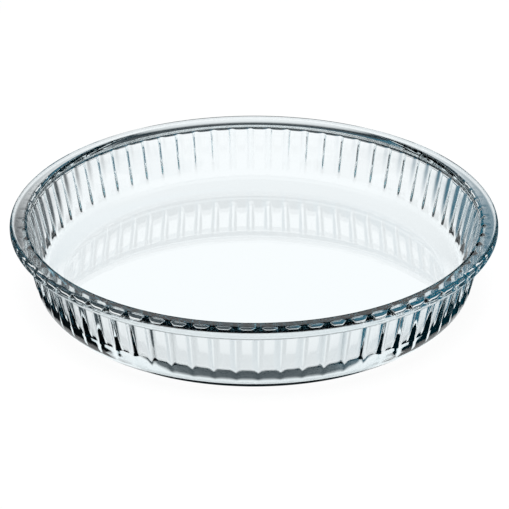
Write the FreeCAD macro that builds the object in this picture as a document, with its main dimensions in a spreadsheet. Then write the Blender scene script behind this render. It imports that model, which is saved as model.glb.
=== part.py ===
import FreeCAD, Part

import math
import os

import Sketcher

# Clear pressed-glass flan dish with a fluted wall. It stands on the XY plane with its axis on Z.
# The real dish is one pressing. It is divided here into four zones that meet face to face:
# the floor disc, the heel ring, the fluted wall and the rim ring.

# Driving sizes, in millimetres and degrees
SIZES = {
    "rim_diameter": 280.0,
    "dish_height": 47.5,
    "rim_thickness": 6.5,
    "rim_overhang": 6.4,
    "rim_edge_radius": 2.9,
    "rim_lip_radius": 2.8,
    "wall_lean_angle": 11.8,
    "wall_thickness": 4.9,
    "heel_radius": 16.5,
    "inner_heel_radius": 15.0,
    "floor_thickness": 5.0,
    "flute_count": 70,
    "flute_depth": 2.2,
    "flute_ridge_width": 0.8,
    "flute_flank_angle": 45.0,
    "flute_fillet_radius": 3.0,
    "flute_foot_height": 11.0,
    "flute_foot_angle": 18.0,
    "heel_zone_inset": 1.5,
    "floor_zone_inset": 4.0,
    "cut_overrun": 2.0,
}

# Places on the section that follow from the driving sizes
PLACES = {
    "wall_slope": "tan(wall_lean_angle * 1deg)",
    "wall_across": "wall_thickness / cos(wall_lean_angle * 1deg)",
    "rim_radius": "rim_diameter / 2",
    "rim_underside": "dish_height - rim_thickness",
    "ridge_top_radius": "rim_radius - rim_overhang",
    "ridge_base_radius": "ridge_top_radius - rim_underside * wall_slope",
    "inner_joint_radius": "ridge_top_radius - wall_across",
    "inner_lip_radius": "inner_joint_radius + rim_thickness * wall_slope",
    "inner_floor_radius": "ridge_base_radius - wall_across + floor_thickness * wall_slope",
    "floor_corner_angle": "90 + wall_lean_angle",
    "flat_floor_radius": "inner_floor_radius - inner_heel_radius / tan(floor_corner_angle / 2 * 1deg)",
    "floor_zone_radius": "flat_floor_radius - floor_zone_inset",
    "flute_cut": "flute_depth / cos(wall_lean_angle * 1deg)",
    "flute_foot_radius": "ridge_base_radius + flute_foot_height * wall_slope",
    "flute_half_width": "pi * flute_foot_radius / flute_count - flute_ridge_width / 2",
    "flute_fillet_cut": "flute_fillet_radius * (1 - cos(flute_flank_angle * 1deg))",
    "flute_flank_cut": "flute_cut - flute_fillet_cut",
    "flute_flank_half": "flute_half_width - flute_flank_cut / tan(flute_flank_angle * 1deg)",
    "flute_floor_half": "flute_flank_half - flute_fillet_radius * sin(flute_flank_angle * 1deg)",
    "flute_floor_radius": "ridge_top_radius - flute_cut",
    "flute_flank_radius": "ridge_top_radius - flute_flank_cut",
    "flute_mouth_radius": "ridge_top_radius + cut_overrun",
    "flute_mouth_half": "flute_half_width + cut_overrun / tan(flute_flank_angle * 1deg)",
    "flute_foot_turn": "90 + wall_lean_angle - flute_foot_angle",
    "heel_zone_height": "flute_foot_height - heel_zone_inset",
    "cutter_radius": "rim_radius + cut_overrun",
    "cutter_height": "dish_height + 2 * cut_overrun",
    "heel_cut_height": "heel_zone_height + cut_overrun",
}

doc = FreeCAD.newDocument("flan_dish")


def make_sheet():
    sheet = doc.addObject("Spreadsheet::Sheet", "Sizes")
    cells = {alias: str(value) for alias, value in SIZES.items()}
    cells.update({alias: "=" + formula for alias, formula in PLACES.items()})
    for row, (alias, content) in enumerate(cells.items(), start=1):
        sheet.set(f"A{row}", alias)
        sheet.set(f"B{row}", content)
        sheet.setAlias(f"B{row}", alias)
    doc.recompute()
    return sheet


sheet = make_sheet()


def place(alias):
    return float(sheet.get(alias)) if alias else 0.0


def origin_feature(body, role):
    return next(item for item in body.Origin.OriginFeatures if item.Role == role)


def section_sketch(body, name):
    sketch = body.newObject("Sketcher::SketchObject", name)
    sketch.AttachmentSupport = [(origin_feature(body, "XZ_Plane"), "")]
    sketch.MapMode = "FlatFace"
    return sketch


def pin_point(sketch, edge, point, across, up):
    # Hold a point at two named places, or on an axis where the name is empty.
    for kind, axis, alias in (("DistanceX", -2, across), ("DistanceY", -1, up)):
        if alias:
            index = sketch.addConstraint(Sketcher.Constraint(kind, -1, 1, edge, point, place(alias)))
            sketch.setExpression(f"Constraints[{index}]", f"Sizes.{alias}")
        else:
            sketch.addConstraint(Sketcher.Constraint("PointOnObject", edge, point, axis))


def closed_outline(sketch, corners):
    # Straight edges through corners that are pairs of names, joined end to start.
    points = [FreeCAD.Vector(place(across), place(up), 0) for across, up in corners]
    edges = [Part.LineSegment(start, end) for start, end in zip(points, points[1:] + points[:1])]
    sketch.addGeometry(edges, False)
    for index, (across, up) in enumerate(corners):
        following = (index + 1) % len(corners)
        sketch.addConstraint(Sketcher.Constraint("Coincident", index, 2, following, 1))
        pin_point(sketch, index, 1, across, up)


def revolve(body, sketch, name):
    feature = body.newObject("PartDesign::Revolution", name)
    feature.Profile = sketch
    feature.ReferenceAxis = (sketch, ["V_Axis"])
    feature.Angle = 360
    doc.recompute()
    return feature


def ring_edge(feature, radius, height):
    # The name of the circular edge about Z that has this radius at this height.
    def miss(number):
        edge = feature.Shape.Edges[number]
        middle = edge.valueAt((edge.FirstParameter + edge.LastParameter) / 2)
        return abs(math.hypot(middle.x, middle.y) - radius) + abs(middle.z - height)

    return "Edge" + str(1 + min(range(len(feature.Shape.Edges)), key=miss))


def round_rings(body, base, name, radius_alias, rings):
    feature = body.newObject("PartDesign::Fillet", name)
    feature.Base = (base, [ring_edge(base, place(across), place(up)) for across, up in rings])
    feature.setExpression("Radius", f"Sizes.{radius_alias}")
    doc.recompute()
    return feature


def make_pan():
    # Floor, heel and plain wall up to the underside of the rim.
    body = doc.addObject("PartDesign::Body", "pan_blank")
    section = section_sketch(body, "pan_section")
    heel_corner = ("ridge_base_radius", "")
    floor_corner = ("inner_floor_radius", "floor_thickness")
    closed_outline(section, [
        ("", ""),
        heel_corner,
        ("ridge_top_radius", "rim_underside"),
        ("inner_joint_radius", "rim_underside"),
        floor_corner,
        ("", "floor_thickness"),
    ])
    turning = revolve(body, section, "pan_turning")
    heel = round_rings(body, turning, "heel_round", "heel_radius", [heel_corner])
    round_rings(body, heel, "inner_heel_round", "inner_heel_radius", [floor_corner])
    return body


def flute_sketch(body):
    # Level section of one flute at the top of the wall: flat floor, rounded corners and steep flanks.
    sketch = body.newObject("Sketcher::SketchObject", "flute_section")
    sketch.AttachmentSupport = [(origin_feature(body, "XY_Plane"), "")]
    sketch.MapMode = "FlatFace"
    sketch.setExpression("AttachmentOffset.Base.z", "Sizes.rim_underside")

    def corner(across, half, side):
        return FreeCAD.Vector(place(across), side * place(half), 0)

    half_turn = math.pi
    flank = math.radians(place("flute_flank_angle"))
    radius = place("flute_fillet_radius")
    centres = [corner("flute_floor_radius", "flute_floor_half", side) for side in (-1, 1)]
    for centre in centres:
        centre.x += radius
    sketch.addGeometry([
        Part.LineSegment(corner("flute_mouth_radius", "flute_mouth_half", 1),
                         corner("flute_flank_radius", "flute_flank_half", 1)),
        Part.ArcOfCircle(Part.Circle(centres[1], FreeCAD.Vector(0, 0, 1), radius), half_turn - flank, half_turn),
        Part.LineSegment(corner("flute_floor_radius", "flute_floor_half", 1),
                         corner("flute_floor_radius", "flute_floor_half", -1)),
        Part.ArcOfCircle(Part.Circle(centres[0], FreeCAD.Vector(0, 0, 1), radius), half_turn, half_turn + flank),
        Part.LineSegment(corner("flute_flank_radius", "flute_flank_half", -1),
                         corner("flute_mouth_radius", "flute_mouth_half", -1)),
        Part.LineSegment(corner("flute_mouth_radius", "flute_mouth_half", -1),
                         corner("flute_mouth_radius", "flute_mouth_half", 1)),
    ], False)
    far_flank, far_round, floor, near_round, near_flank, mouth = range(6)
    for constraint in (
        ("Coincident", far_flank, 2, far_round, 1),
        ("Tangent", far_round, 2, floor, 1),
        ("Tangent", floor, 2, near_round, 1),
        ("Coincident", near_round, 2, near_flank, 1),
        ("Coincident", near_flank, 2, mouth, 1),
        ("Coincident", mouth, 2, far_flank, 1),
        ("Symmetric", mouth, 1, mouth, 2, -1),
        ("Symmetric", far_flank, 2, near_flank, 1, -1),
        ("Symmetric", floor, 1, floor, 2, -1),
    ):
        sketch.addConstraint(Sketcher.Constraint(*constraint))
    pin_point(sketch, mouth, 2, "flute_mouth_radius", "flute_mouth_half")
    pin_point(sketch, far_flank, 2, "flute_flank_radius", "flute_flank_half")
    pin_point(sketch, floor, 1, "flute_floor_radius", "flute_floor_half")
    return sketch


def cut_flutes(body):
    # One flute down the outside of the wall to its sloped foot, repeated round the dish.
    foot = body.newObject("PartDesign::Plane", "flute_foot")
    foot.AttachmentSupport = [(origin_feature(body, "XY_Plane"), "")]
    foot.MapMode = "FlatFace"
    foot.AttachmentOffset = FreeCAD.Placement(
        FreeCAD.Vector(), FreeCAD.Rotation(FreeCAD.Vector(0, 1, 0), place("flute_foot_turn")))
    foot.setExpression("AttachmentOffset.Base.x", "Sizes.flute_foot_radius")
    foot.setExpression("AttachmentOffset.Base.z", "Sizes.flute_foot_height")
    foot.setExpression("AttachmentOffset.Rotation.Angle", "Sizes.flute_foot_turn * 1deg")

    channel = body.newObject("PartDesign::Pocket", "flute_channel")
    channel.Profile = flute_sketch(body)
    channel.UseCustomVector = True
    channel.Direction = FreeCAD.Vector(-place("wall_slope"), 0, -1)
    channel.setExpression("Direction.x", "-Sizes.wall_slope")
    channel.AlongSketchNormal = False
    channel.Type = "UpToFace"
    channel.UpToFace = (foot, [""])
    doc.recompute()
    ring = body.newObject("PartDesign::PolarPattern", "flute_ring")
    ring.Originals = [channel]
    ring.Axis = (origin_feature(body, "Z_Axis"), [""])
    ring.Angle = 360
    ring.setExpression("Occurrences", "Sizes.flute_count")
    body.Tip = ring
    doc.recompute()


def make_rim():
    # Flat-topped rim that overhangs the wall, with rounded outer edges and inner lip.
    body = doc.addObject("PartDesign::Body", "rim_ring")
    section = section_sketch(body, "rim_section")
    upper_edge = ("rim_radius", "dish_height")
    lower_edge = ("rim_radius", "rim_underside")
    lip = ("inner_lip_radius", "dish_height")
    closed_outline(section, [("inner_joint_radius", "rim_underside"), lower_edge, upper_edge, lip])
    turning = revolve(body, section, "rim_turning")
    edges = round_rings(body, turning, "rim_edge_round", "rim_edge_radius", [upper_edge, lower_edge])
    round_rings(body, edges, "rim_lip_round", "rim_lip_radius", [lip])
    return body


def cutter(name, radius_alias, height_alias):
    tool = doc.addObject("Part::Cylinder", name)
    tool.setExpression("Radius", f"Sizes.{radius_alias}")
    tool.setExpression("Height", f"Sizes.{height_alias}")
    tool.setExpression("Placement.Base.z", "-Sizes.cut_overrun")
    return tool


def boolean(kind, label, base, tool):
    result = doc.addObject(kind, label)
    result.Base = base
    result.Tool = tool
    return result


pan = make_pan()
plain_volume = pan.Shape.Volume
cut_flutes(pan)
scooped_volume = plain_volume - pan.Shape.Volume

floor_tool = cutter("floor_tool", "floor_zone_radius", "cutter_height")
heel_tool = cutter("heel_tool", "cutter_radius", "heel_cut_height")
lower_zone = boolean("Part::Common", "lower_zone", pan, heel_tool)
sub_parts = [
    boolean("Part::Common", "floor_disc", pan, floor_tool),
    boolean("Part::Cut", "heel_ring", lower_zone, floor_tool),
    boolean("Part::Cut", "fluted_wall", pan, heel_tool),
    make_rim(),
]
doc.recompute()

for item in doc.Objects:
    if {"Invalid", "Error"} & set(item.State):
        raise RuntimeError(f"{item.Label} did not build")
for item in sub_parts:
    if item.Shape.isNull() or not item.Shape.isValid() or len(item.Shape.Solids) != 1:
        raise RuntimeError(f"{item.Label} is not one valid solid")
if scooped_volume <= 0:
    raise RuntimeError("the flutes cut nothing")

os.makedirs("parts", exist_ok=True)
for item in sub_parts:
    item.Shape.exportStep(f"parts/{item.Label}.step")
    print(f"{item.Label}: {item.Shape.Volume / 1000:.1f} cm3, {len(item.Shape.Faces)} faces")
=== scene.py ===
import math

import bpy
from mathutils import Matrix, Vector


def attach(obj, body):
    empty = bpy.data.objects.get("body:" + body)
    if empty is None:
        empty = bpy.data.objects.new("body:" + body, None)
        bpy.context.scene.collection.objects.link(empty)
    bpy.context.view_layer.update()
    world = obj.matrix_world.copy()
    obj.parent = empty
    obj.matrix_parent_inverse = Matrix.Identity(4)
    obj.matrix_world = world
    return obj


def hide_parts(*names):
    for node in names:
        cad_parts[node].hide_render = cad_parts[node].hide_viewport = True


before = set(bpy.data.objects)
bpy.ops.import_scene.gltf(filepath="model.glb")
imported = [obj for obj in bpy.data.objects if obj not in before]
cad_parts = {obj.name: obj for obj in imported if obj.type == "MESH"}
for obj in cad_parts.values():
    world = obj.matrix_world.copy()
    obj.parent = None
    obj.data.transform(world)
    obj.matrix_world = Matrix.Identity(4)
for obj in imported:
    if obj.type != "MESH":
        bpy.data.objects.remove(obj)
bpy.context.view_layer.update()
print("frame loaded:", sorted(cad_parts))

mm = 0.001
pureWhite = (1, 1, 1, 1)


def addObject(name, data):
    made = bpy.data.objects.new(name, data)
    bpy.context.scene.collection.objects.link(made)
    return made


def addNode(tree, kind, **values):
    node = tree.nodes.new(kind)
    for name, value in values.items():
        setattr(node, name, value)
    return node


def feed(tree, socket, value):
    # another node's output is linked, anything else is a fixed value
    if isinstance(value, bpy.types.NodeSocket):
        tree.links.new(value, socket)
    else:
        socket.default_value = value


def calc(tree, operation, *values):
    node = addNode(tree, "ShaderNodeMath", operation=operation)
    for socket, value in zip(node.inputs, values):
        feed(tree, socket, value)
    return node.outputs[0]


def fade(tree, value, start, end, low=0, high=1):
    # smooth step from low at start to high at end, where start may be above end
    node = addNode(tree, "ShaderNodeMapRange", interpolation_type="SMOOTHSTEP")
    names = ("Value", "From Min", "From Max", "To Min", "To Max")
    for name, amount in zip(names, (value, start, end, low, high)):
        feed(tree, node.inputs[name], amount)
    return node.outputs["Result"]


def blend(tree, share, first, second):
    node = addNode(tree, "ShaderNodeMix", data_type="RGBA")
    sockets = {socket.name: socket for socket in node.inputs if socket.enabled}
    for name, value in (("Factor", share), ("A", first), ("B", second)):
        feed(tree, sockets[name], value)
    return next(socket for socket in node.outputs if socket.enabled)


def mixShaders(tree, share, first, second):
    node = addNode(tree, "ShaderNodeMixShader")
    for socket, value in zip(node.inputs, (share, first, second)):
        feed(tree, socket, value)
    return node.outputs[0]


def opaque(colour):
    return (*colour, 1)


# Glass dish
dish = {
    "rimRadius": 140 * mm,
    "height": 47.5 * mm,
    "rimThickness": 6.5 * mm,
    "rimOverhang": 6.4 * mm,
    "rimEdgeRadius": 2.9 * mm,
    "rimLipRadius": 2.8 * mm,
    "wallLean": math.radians(11.8),
    "wallThickness": 4.9 * mm,
    "heelRadius": 16.5 * mm,
    "innerHeelRadius": 15 * mm,
    "floorThickness": 5 * mm,
    "fluteCount": 70,
    "fluteDepth": 2.2 * mm,
    "ridgeWidth": 0.8 * mm,  # between two flutes at their foot
    "flankAngle": math.radians(45),
    "flankFillet": 3 * mm,
    "footHeight": 11 * mm,
    "footAngle": math.radians(18),  # between the wall and a flute's sloped foot
    "softness": 1.0 * mm,  # how far the ridge edges are rounded
    "footSoftness": 2.0 * mm,  # same where a foot meets its flute
    "cornerSoftness": 0.25 * mm,  # same for the corner under the rim
    "mergeDistance": 0.01 * mm,  # joins the flutes' shares into one skin
    # mesh of one flute's share: columns across it, rows round the section
    "plainColumns": 8,
    "filletColumns": 4,
    "flankColumns": (0.5, 0.15),  # shares of a flank's run, in from its ridge
    "ridgeColumn": 0.1 * mm,  # past a flute's edge
    "flatMargin": 4 * mm,  # ring of flat base or floor beside a heel
    "heelRows": 14,
    "heelGap": 1.5 * mm,  # plain heel rows stop this far under the feet
    "underFoot": (0.8 * mm, 0.3 * mm),  # rows just under the feet
    "footRows": 12,
    "overFoot": (0.4 * mm, 1.2 * mm),  # rows just above the feet
    "wallRows": 5,
    "edgeGap": 0.5 * mm,  # flat ring under the rim, next to its rounded edge
    "rimRows": 9,
    "innerWallRows": 5,
    "innerHeelRows": 18,
}

lean = dish["wallLean"]
slope = math.tan(lean)
outerBend = math.tan((math.pi / 2 - lean) / 2)  # half the turn from the base into the wall
innerBend = math.tan((math.pi / 2 + lean) / 2)  # same for the floor, and for the lip
halfPitch = math.pi / dish["fluteCount"]
underside = dish["height"] - dish["rimThickness"]
ridgeTop = dish["rimRadius"] - dish["rimOverhang"]
ridgeBase = ridgeTop - underside * slope
heelTop = dish["heelRadius"] * (1 - math.sin(lean))
flatBase = ridgeBase - dish["heelRadius"] * outerBend
wallAcross = dish["wallThickness"] / math.cos(lean)
innerTop = ridgeTop - wallAcross + dish["rimThickness"] * slope
innerFloor = ridgeBase - wallAcross + dish["floorThickness"] * slope
fluteHalf = halfPitch * (ridgeBase + dish["footHeight"] * slope) - dish["ridgeWidth"] / 2
filletRise = dish["flankFillet"] * (1 - math.cos(dish["flankAngle"]))
filletRun = dish["flankFillet"] * math.sin(dish["flankAngle"])
flankRun = (dish["fluteDepth"] - filletRise) / math.tan(dish["flankAngle"])
floorHalf = fluteHalf - flankRun - filletRun
footRise = math.cos(lean) / math.tan(dish["footAngle"])  # height that a flute's foot takes for its depth


def arcPoints(centre, radius, start, end, steps):
    turns = [math.radians(start + (end - start) * i / steps) for i in range(steps + 1)]
    return [(centre[0] + radius * math.cos(t), centre[1] + radius * math.sin(t)) for t in turns]


def plainRadius(z):
    # outside of the wall and heel with no flutes
    if z >= heelTop:
        return ridgeBase + z * slope
    heel = dish["heelRadius"]
    return flatBase + math.sqrt(max(heel ** 2 - (heel - z) ** 2, 0))


def channelDepth(across):
    # depth of a flute at this distance from its middle, below zero past its edge
    across = abs(across)
    depth, fillet = dish["fluteDepth"], dish["flankFillet"]
    if across <= floorHalf:
        return depth
    if across <= floorHalf + filletRun:
        return depth - fillet + math.sqrt(fillet ** 2 - (across - floorHalf) ** 2)
    return (fluteHalf - across) * math.tan(dish["flankAngle"])


def footDepth(z):
    # depth of the sloped foot at this height, below zero under its start
    return (z - dish["footHeight"]) / footRise


def softLeast(a, b, soft):
    # the lesser of two values, with the crease between them rounded
    return (a + b - math.sqrt((a - b) ** 2 + soft ** 2)) / 2


def flutedRadius(z, turn):
    plain = plainRadius(z)
    cut = softLeast(channelDepth(plain * turn), footDepth(z), dish["footSoftness"])
    cut = -softLeast(-cut, 0, dish["softness"])
    return plain - cut / math.cos(lean)


def fluteColumns(radius):
    # turns from the middle of one ridge to the next
    count = dish["filletColumns"]
    across = [0, floorHalf / 2, floorHalf]
    across += [floorHalf + filletRun * i / count for i in range(1, count + 1)]
    across += [fluteHalf - flankRun * share for share in dish["flankColumns"]]
    across += [fluteHalf + dish["ridgeColumn"]]
    half = [a / radius for a in across] + [halfPitch]
    return [-t for t in reversed(half[1:])] + half


def plainColumns():
    count = dish["plainColumns"]
    return [halfPitch * (2 * i / count - 1) for i in range(count + 1)]


def wallHeights():
    # rows of the fluted wall, closest together round the flutes' feet
    foot, count = dish["footHeight"], dish["footRows"]
    footTall = dish["fluteDepth"] * footRise
    wallStart = foot + footTall
    heights = [foot - drop for drop in dish["underFoot"]]
    heights += [foot + footTall * i / count for i in range(count + 1)]
    heights += [wallStart + rise for rise in dish["overFoot"]]
    count = dish["wallRows"]
    heights += [wallStart + (underside - wallStart) * i / count for i in range(1, count)]
    return heights + [underside - dish["cornerSoftness"]]


def plainRows(points):
    return [(r, z, False) for r, z in points]


def sectionRows():
    # (radius, height, fluted) round the section, from the flat base up the outside and down to the floor
    leanDegrees = math.degrees(lean)
    top, rim, floor = dish["height"], dish["rimRadius"], dish["floorThickness"]
    rows = [(flatBase - dish["flatMargin"], 0, False)]

    heel = dish["heelRadius"]
    outerHeel = arcPoints((flatBase, heel), heel, -90, -leanDegrees, dish["heelRows"])
    rows += plainRows((r, z) for r, z in outerHeel if z < dish["footHeight"] - dish["heelGap"])
    rows += [(plainRadius(z), z, True) for z in wallHeights()]

    soft = dish["cornerSoftness"]
    rows += [(ridgeTop - soft / 4, underside - soft / 4, True)]  # middle of the rounded corner
    rows += [(ridgeTop + soft, underside, True)]

    edge, steps = dish["rimEdgeRadius"], dish["rimRows"]
    rows += [(rim - edge - dish["edgeGap"], underside, False)]
    rows += plainRows(arcPoints((rim - edge, underside + edge), edge, -90, 0, steps))
    rows += plainRows(arcPoints((rim - edge, top - edge), edge, 0, 90, steps))
    lip = dish["rimLipRadius"]
    rows += plainRows(arcPoints((innerTop + lip / innerBend, top - lip), lip, 90, 180 - leanDegrees, steps))

    inner = dish["innerHeelRadius"]
    heelCentre = (innerFloor - inner / innerBend, floor + inner)
    innerHeel = arcPoints(heelCentre, inner, -leanDegrees, -90, dish["innerHeelRows"])
    start, end, count = rows[-1], innerHeel[0], dish["innerWallRows"]
    rows += plainRows([a + (b - a) * i / count for a, b in zip(start, end)] for i in range(1, count))
    rows += plainRows(innerHeel)
    return rows + [(heelCentre[0] - dish["flatMargin"], floor, False)]


def stitchRows(below, above):
    # faces between two rows of (turn, vertex), which may have different numbers of columns
    if len(below) == len(above):
        pairs = zip(zip(below, below[1:]), zip(above, above[1:]))
        return [(a[1], b[1], d[1], c[1]) for (a, b), (c, d) in pairs]
    faces, i, j = [], 0, 0
    while i < len(below) - 1 or j < len(above) - 1:
        nextBelow = below[i + 1][0] if i < len(below) - 1 else math.inf
        nextAbove = above[j + 1][0] if j < len(above) - 1 else math.inf
        if nextBelow <= nextAbove:
            faces.append((below[i][1], below[i + 1][1], above[j][1]))
            i += 1
        else:
            faces.append((below[i][1], above[j + 1][1], above[j][1]))
            j += 1
    return faces


def fluteSector():
    # one flute's share of the whole dish, centred on +X
    verts, faces, grid = [], [], []
    for radius, z, fluted in sectionRows():
        line = []
        turns = fluteColumns(min(radius, ridgeTop)) if fluted else plainColumns()
        for turn in turns:
            r = flutedRadius(z, turn) + radius - plainRadius(z) if fluted else radius
            line.append((turn, len(verts)))
            verts.append((r * math.cos(turn), r * math.sin(turn), z))
        grid.append(line)
    for below, above in zip(grid, grid[1:]):
        faces += stitchRows(below, above)
    for z, line, order in ((0, grid[0], -1), (dish["floorThickness"], grid[-1], 1)):
        centre = len(verts)
        verts.append((0, 0, z))
        faces.append(tuple([centre] + [vertex for turn, vertex in line[::order]]))
    mesh = bpy.data.meshes.new("fluteSector")
    mesh.from_pydata(verts, [], faces)
    mesh.validate()
    return addObject("fluteSector", mesh)


def repeatRound(piece, material):
    tree = bpy.data.node_groups.new("repeatRound", "GeometryNodeTree")
    face = tree.interface
    face.new_socket("Geometry", in_out="INPUT", socket_type="NodeSocketGeometry")
    countSocket = face.new_socket("Flute Count", in_out="INPUT", socket_type="NodeSocketInt")
    mergeSocket = face.new_socket("Merge Distance", in_out="INPUT", socket_type="NodeSocketFloat")
    glassSocket = face.new_socket("Glass", in_out="INPUT", socket_type="NodeSocketMaterial")
    face.new_socket("Geometry", in_out="OUTPUT", socket_type="NodeSocketGeometry")
    inputs = addNode(tree, "NodeGroupInput")
    points = addNode(tree, "GeometryNodePoints")
    index = addNode(tree, "GeometryNodeInputIndex")
    rotation = addNode(tree, "ShaderNodeCombineXYZ")
    place = addNode(tree, "GeometryNodeInstanceOnPoints")
    realize = addNode(tree, "GeometryNodeRealizeInstances")
    merge = addNode(tree, "GeometryNodeMergeByDistance")
    smooth = addNode(tree, "GeometryNodeSetShadeSmooth")
    paint = addNode(tree, "GeometryNodeSetMaterial")
    outputs = addNode(tree, "NodeGroupOutput")
    perFlute = calc(tree, "DIVIDE", 2 * math.pi, inputs.outputs["Flute Count"])
    link = tree.links.new
    link(inputs.outputs["Flute Count"], points.inputs["Count"])
    link(calc(tree, "MULTIPLY", index.outputs[0], perFlute), rotation.inputs["Z"])
    link(points.outputs[0], place.inputs["Points"])
    link(inputs.outputs["Geometry"], place.inputs["Instance"])
    link(rotation.outputs[0], place.inputs["Rotation"])
    link(place.outputs[0], realize.inputs[0])
    link(realize.outputs[0], merge.inputs["Geometry"])
    link(inputs.outputs["Merge Distance"], merge.inputs["Distance"])
    link(merge.outputs[0], smooth.inputs["Geometry"])
    link(smooth.outputs[0], paint.inputs["Geometry"])
    link(inputs.outputs["Glass"], paint.inputs["Material"])
    link(paint.outputs[0], outputs.inputs[0])
    modifier = piece.modifiers.new("repeatRound", "NODES")
    modifier.node_group = tree
    modifier[countSocket.identifier] = dish["fluteCount"]
    modifier[mergeSocket.identifier] = dish["mergeDistance"]
    modifier[glassSocket.identifier] = material
    depsgraph = bpy.context.evaluated_depsgraph_get()
    mesh = bpy.data.meshes.new_from_object(piece.evaluated_get(depsgraph))
    mesh.name = "glassDish"
    bpy.data.objects.remove(piece)
    return addObject("glassDish", mesh)


# Clear glass
glass = {
    "ior": 1.50,
    "roughness": 0.012,  # where the pressed surface is least smooth
    "roughWave": (0.55, 0.75),  # heights of the wave where that sets in
    "waveScale": 55.0,
    "waveDetail": 1,
    "waveDepth": 0.02 * mm,
    "tint": (0.30, 0.80, 0.92),
    "density": 5.0,
    "shadowFalloff": 3.0,  # how fast light through slanted glass fades from the shadow
}


def clearGlass():
    material = bpy.data.materials.new("clearGlass")
    material.use_nodes = True
    tree = material.node_tree
    link = tree.links.new
    shader = tree.nodes["Principled BSDF"]
    shader.inputs["Base Color"].default_value = pureWhite
    shader.inputs["IOR"].default_value = glass["ior"]
    shader.inputs["Transmission Weight"].default_value = 1

    # faint waves of pressed glass
    coord = addNode(tree, "ShaderNodeTexCoord")
    wave = addNode(tree, "ShaderNodeTexNoise")
    wave.inputs["Scale"].default_value = glass["waveScale"]
    wave.inputs["Detail"].default_value = glass["waveDetail"]
    link(coord.outputs["Object"], wave.inputs["Vector"])
    bump = addNode(tree, "ShaderNodeBump")
    bump.inputs["Distance"].default_value = glass["waveDepth"]
    link(wave.outputs["Fac"], bump.inputs["Height"])
    link(bump.outputs[0], shader.inputs["Normal"])
    rough = fade(tree, wave.outputs["Fac"], *glass["roughWave"], 0, glass["roughness"])
    link(rough, shader.inputs["Roughness"])

    # tint by depth
    volume = addNode(tree, "ShaderNodeVolumeAbsorption")
    volume.inputs["Color"].default_value = opaque(glass["tint"])
    volume.inputs["Density"].default_value = glass["density"]

    # light goes through to the shadow, less where the glass is slanted
    slant = addNode(tree, "ShaderNodeLayerWeight")
    clear = calc(tree, "POWER", calc(tree, "SUBTRACT", 1, slant.outputs["Facing"]), glass["shadowFalloff"])
    through = addNode(tree, "ShaderNodeBsdfTransparent")
    link(clear, through.inputs["Color"])
    path = addNode(tree, "ShaderNodeLightPath")
    surface = mixShaders(tree, path.outputs["Is Shadow Ray"], shader.outputs[0], through.outputs[0])
    out = tree.nodes["Material Output"]
    link(surface, out.inputs["Surface"])
    link(volume.outputs[0], out.inputs["Volume"])
    return material


glassDish = repeatRound(fluteSector(), clearGlass())
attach(glassDish, "root")
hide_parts("floor_disc", "heel_ring", "fluted_wall", "rim_ring")
print("glass dish:", len(glassDish.data.polygons), "faces")

# Stage
studio = {
    "floorReach": 3.0,
    "floorDrop": 0.2 * mm,  # keeps the floor off the base
    "floorGlow": 0.95,  # share of plain white, the rest takes the shadow
    "floorColour": (0.95, 0.95, 0.95),
    # floor as the glass shows it: a painted pool of light, wider at the sides and behind, with painted
    # shadow of the dish past its edge
    "paintedPoolColour": (0.95, 0.985, 1.0),
    "poolRadius": 0.1125,
    "poolSide": 0.132,
    "poolTurn": (-0.95, -0.75),  # from the front round to the sides, by y over distance
    "poolEdge": 0.005,
    "poolBehind": 0.075,  # how much wider it gets behind
    "poolFade": 0.2,  # how much softer
    "poolPower": 3,
    "paintedLitFloor": (-0.18, -0.28),  # towards the camera, where the painted light of the pool comes back on the floor
    "paintedTealFloorX": (0.03, 0.09),  # where the painted shade past the pool turns to painted teal light
    "paintedTealFloorY": (0.25, 0.15),
    # room as the glass shows it, by direction: dark with a teal right side, and lit in two places
    "roomLeft": (0.024, 0.038, 0.046),
    "roomRight": (0.004, 0.105, 0.165),
    "tealRoomX": (0.02, 0.16),
    "tealRoomY": (-0.1, 0.3),
    "litWallY": (0.81, 0.87),  # band of the wall behind
    "litWallLow": (0.395, 0.405),
    "litWallHigh": (0.525, 0.535),
    "litFrontY": (0.1, -0.5),  # wall on the camera's side, lit from the floor up
    "litFrontHigh": (0.52, 0.60),
    "softboxPower": 38,
    "softboxSize": 1.0,
    "softboxPlace": (0, -0.3, 1.6),
    "bounces": 12,
}


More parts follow.
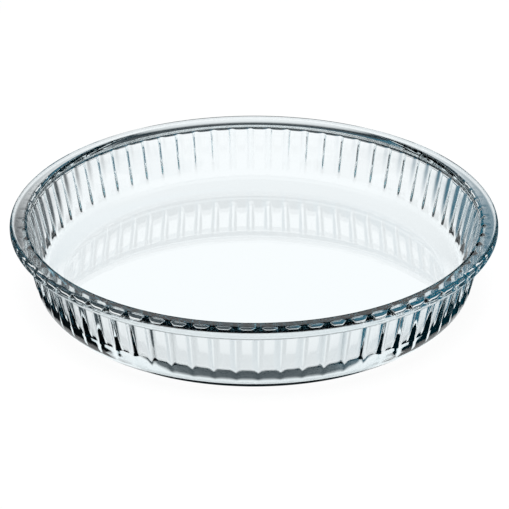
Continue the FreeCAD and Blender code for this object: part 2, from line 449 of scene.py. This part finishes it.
def whiteFloorPaintedPool():
    # white with the dish's shadow on it, and in the glass a painted pool of light with painted shadow round
    # it, in the dark room's colours
    material = bpy.data.materials.new("floorWhitePaintedPool")
    material.use_nodes = True
    tree = material.node_tree
    tree.nodes.clear()
    link = tree.links.new
    coord = addNode(tree, "ShaderNodeTexCoord")
    distance = addNode(tree, "ShaderNodeVectorMath", operation="LENGTH")
    split = addNode(tree, "ShaderNodeSeparateXYZ")
    link(coord.outputs["Object"], distance.inputs[0])
    link(coord.outputs["Object"], split.inputs[0])
    x, y, away = split.outputs["X"], split.outputs["Y"], distance.outputs["Value"]

    back = calc(tree, "DIVIDE", y, away)  # from -1 in front of the dish to 1 behind it
    spread = calc(tree, "POWER", calc(tree, "MAXIMUM", back, 0), studio["poolPower"])
    nearest = fade(tree, back, *studio["poolTurn"], studio["poolRadius"], studio["poolSide"])
    reach = calc(tree, "MULTIPLY_ADD", spread, studio["poolBehind"], nearest)
    edge = calc(tree, "MULTIPLY_ADD", spread, studio["poolFade"], studio["poolEdge"])
    # painted pool of light on the floor, with painted shadow past its edge
    pool = fade(tree, away, reach, calc(tree, "ADD", reach, edge), 1, 0)
    # painted light again on the floor towards the camera
    lit = calc(tree, "MAXIMUM", pool, fade(tree, y, *studio["paintedLitFloor"]))
    # painted teal light on the right, past the pool
    rightSide = fade(tree, x, *studio["paintedTealFloorX"])
    teal = calc(tree, "MULTIPLY", rightSide, fade(tree, y, *studio["paintedTealFloorY"]))
    # painted shade past the pool, in the room's dark and teal colours
    past = blend(tree, teal, opaque(studio["roomLeft"]), opaque(studio["roomRight"]))
    # the floor glows with this painted light and shade, for glossy and transmission rays only
    paintedPoolGlow = addNode(tree, "ShaderNodeEmission")
    link(blend(tree, lit, past, opaque(studio["paintedPoolColour"])), paintedPoolGlow.inputs["Color"])

    matt = addNode(tree, "ShaderNodeBsdfDiffuse")
    matt.inputs["Color"].default_value = opaque(studio["floorColour"])
    glow = addNode(tree, "ShaderNodeEmission")
    backdrop = mixShaders(tree, studio["floorGlow"], matt.outputs[0], glow.outputs[0])
    path = addNode(tree, "ShaderNodeLightPath")
    inGlass = calc(tree, "MAXIMUM", path.outputs["Is Glossy Ray"], path.outputs["Is Transmission Ray"])
    out = addNode(tree, "ShaderNodeOutputMaterial")
    link(mixShaders(tree, inGlass, backdrop, paintedPoolGlow.outputs[0]), out.inputs["Surface"])
    return material


def makeFloor():
    size = studio["floorReach"]
    corners = [(-size, -size, 0), (size, -size, 0), (size, size, 0), (-size, size, 0)]
    mesh = bpy.data.meshes.new("studioFloor")
    mesh.from_pydata(corners, [], [(0, 1, 2, 3)])
    mesh.materials.append(whiteFloorPaintedPool())
    floor = addObject("studioFloor", mesh)
    floor.location.z = -studio["floorDrop"]


def makeLights():
    data = bpy.data.lights.new("softbox", "AREA")
    data.shape = "DISK"
    data.size = studio["softboxSize"]
    data.energy = studio["softboxPower"]
    lamp = addObject("softbox", data)
    lamp.location = studio["softboxPlace"]
    lamp.rotation_euler = (-lamp.location).to_track_quat("-Z", "Y").to_euler()
    lamp.visible_transmission = False
    lamp.visible_glossy = False


def makeWorld():
    world = bpy.data.worlds.new("studioRoom")
    world.use_nodes = True
    tree = world.node_tree
    link = tree.links.new
    coord = addNode(tree, "ShaderNodeTexCoord")
    split = addNode(tree, "ShaderNodeSeparateXYZ")
    link(coord.outputs["Generated"], split.inputs[0])
    x, y, z = (split.outputs[name] for name in "XYZ")
    rightSide = fade(tree, x, *studio["tealRoomX"])
    teal = calc(tree, "MULTIPLY", rightSide, fade(tree, y, *studio["tealRoomY"]))
    room = blend(tree, teal, opaque(studio["roomLeft"]), opaque(studio["roomRight"]))
    behind = fade(tree, y, *studio["litWallY"])
    above = fade(tree, z, *studio["litWallLow"])
    below = fade(tree, z, *studio["litWallHigh"], 1, 0)
    wall = calc(tree, "MULTIPLY", behind, calc(tree, "MULTIPLY", above, below))
    front = fade(tree, y, *studio["litFrontY"])
    low = fade(tree, z, *studio["litFrontHigh"], 1, 0)
    lit = calc(tree, "MAXIMUM", wall, calc(tree, "MULTIPLY", front, low))
    path = addNode(tree, "ShaderNodeLightPath")
    lit = calc(tree, "MAXIMUM", lit, path.outputs["Is Camera Ray"])
    link(blend(tree, lit, room, pureWhite), tree.nodes["Background"].inputs["Color"])
    bpy.context.scene.world = world


makeFloor()
makeLights()
makeWorld()
print("floor, softbox and room made")

# Camera
view = {
    "aimHeight": 44.87 * mm,
    "distance": 1.05,
    "elevation": 26.22,
    "turn": -1.0,
    "lens": 128.74,
    "sensor": 36,
    "clipStart": 0.01,
    "shiftX": 0.001,
    "shiftY": -0.0799,
}


def makeCamera():
    data = bpy.data.cameras.new("photoCamera")
    data.sensor_width = view["sensor"]
    data.lens = view["lens"]
    data.shift_x = view["shiftX"]
    data.shift_y = view["shiftY"]
    data.clip_start = view["clipStart"]
    camera = addObject("photoCamera", data)
    rise, turn = math.radians(view["elevation"]), math.radians(view["turn"])
    back = Vector((math.sin(turn) * math.cos(rise), -math.cos(turn) * math.cos(rise), math.sin(rise)))
    camera.location = Vector((0, 0, view["aimHeight"])) + back * view["distance"]
    camera.rotation_euler = (-back).to_track_quat("-Z", "Y").to_euler()
    bpy.context.scene.camera = camera


makeCamera()
scene = bpy.context.scene
scene.view_settings.view_transform = "Standard"
scene.cycles.max_bounces = studio["bounces"]
scene.cycles.transmission_bounces = studio["bounces"]
scene.cycles.glossy_bounces = studio["bounces"]
print("camera and light set")
